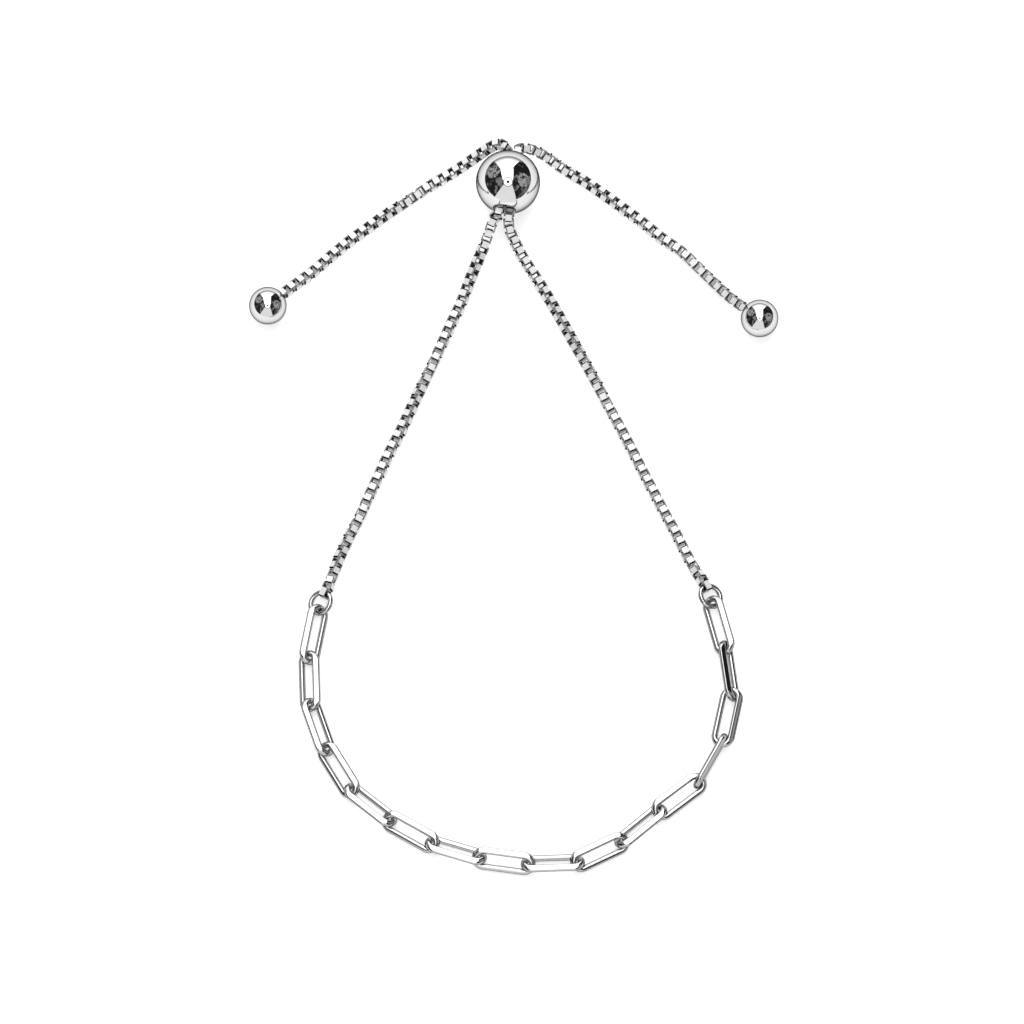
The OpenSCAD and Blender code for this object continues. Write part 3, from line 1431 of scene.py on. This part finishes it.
CHAIN_LEFT = BoxChain(
    name="box_links_left",
    node="box_chain_left",
    side=Side.LEFT,
    ring=RING_LEFT,
    slider=SLIDER,
    end_bead=END_LEFT,
    strand=(
        (-19.1, -6.3, 0.6, 230),
        (-18, -3.7, 0.6, 207),
        (-16.8, -1.3, 0.6, 192),
        (-15.7, 1.2, 0.6, 178),
        (-14.6, 3.6, 0.6, 170),
        (-13.5, 6.1, 0.6, 168),
        (-12.3, 8.5, 0.6, 161),
        (-11.2, 11, 0.6, 154),
        (-10.1, 13.5, 0.6, 120),
        (-9, 15.9, 0.6, 105),
        (-7.9, 18.3, 0.6, 82),
        (-6.8, 20.8, 0.65, 77),
        (-5.7, 23.2, 0.8, 75),
        (-4.8, 25.6, 1.15, 63),
        (-3.8, 28, 1.75, 42),
        (-2.9, 30.1, 2.55, 10),
        (-2.2, 31.8, 3.35, 0),
    ),
    hole_rolls=(0, 0, 4),
    tail=(
        (-0.9, 40.2, 2.85, 8),
        (-1.6, 40.7, 2.6, 18),
        (-2.7, 40.4, 2.2, 24),
        (-4.4, 39.4, 1.5, 24),
        (-6.7, 38, 0.8, 16),
        (-9.1, 36.6, 0.6, 3),
        (-11.4, 35, 0.6, -27),
        (-13.6, 33.5, 0.6, -52),
        (-15.7, 31.9, 0.6, -69),
        (-17.8, 30.3, 0.6, -76),
        (-19.8, 28.6, 0.65, -78),
        (-21.8, 26.7, 0.9, -78),
        (-23.4, 25.3, 1.35, -78),
    ),
    end_roll=-78,
)
CHAIN_RIGHT = BoxChain(
    name="box_links_right",
    node="box_chain_right",
    side=Side.RIGHT,
    ring=RING_RIGHT,
    slider=SLIDER,
    end_bead=END_RIGHT,
    strand=(
        (18.9, -5.9, 0.6, 96),
        (17.6, -3.2, 0.6, 92),
        (16.3, -0.7, 0.6, 92),
        (15.1, 1.7, 0.6, 92),
        (13.9, 4.1, 0.6, 92),
        (12.7, 6.6, 0.6, 92),
        (11.5, 9, 0.6, 92),
        (10.2, 11.5, 0.6, 85),
        (9, 14, 0.6, 65),
        (7.7, 16.5, 0.6, 63),
        (6.4, 18.9, 0.6, 48),
        (5.1, 21.3, 0.65, 32),
        (3.8, 23.6, 0.8, 26),
        (2.5, 25.7, 1.15, 10),
        (1.1, 27.8, 1.7, 7),
        (0.1, 29.6, 2.3, 5),
        (-0.5, 31, 2.95, 0),
    ),
    hole_rolls=(0, 0, 5),
    tail=(
        (0.7, 40.1, 2.8, 10),
        (1.4, 40.2, 2.55, 20),
        (2.3, 40.1, 2.25, 28),
        (3.6, 39.6, 1.6, 32),
        (5.2, 38.6, 1, 33),
        (7.7, 37.1, 0.6, 53),
        (9.9, 35.5, 0.6, 60),
        (12, 33.9, 0.6, 77),
        (14.1, 32.3, 0.6, 84),
        (16.1, 30.6, 0.6, 85),
        (18.3, 29, 0.6, 96),
        (20.1, 27.2, 0.65, 106),
        (21.9, 25.3, 0.95, 112),
        (23.6, 23.5, 1.4, 114),
    ),
    end_roll=114,
)


def main() -> None:
    """Builds the bracelet's pieces and the studio."""
    logging.basicConfig(level=logging.INFO, format="%(message)s")
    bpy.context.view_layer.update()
    beads = BEAD_FINISH.material()
    wire = WIRE_FINISH.material()
    strip = STRIP_FINISH.material()
    for bead in (SLIDER, END_LEFT, END_RIGHT):
        bead.build(beads)
    for ring in (RING_LEFT, RING_RIGHT):
        ring.build(wire)
    PaperclipLinks().build(wire)
    for chain in (CHAIN_LEFT, CHAIN_RIGHT):
        chain.build(strip)
    Studio().build()


if __name__ == "__main__":
    main()
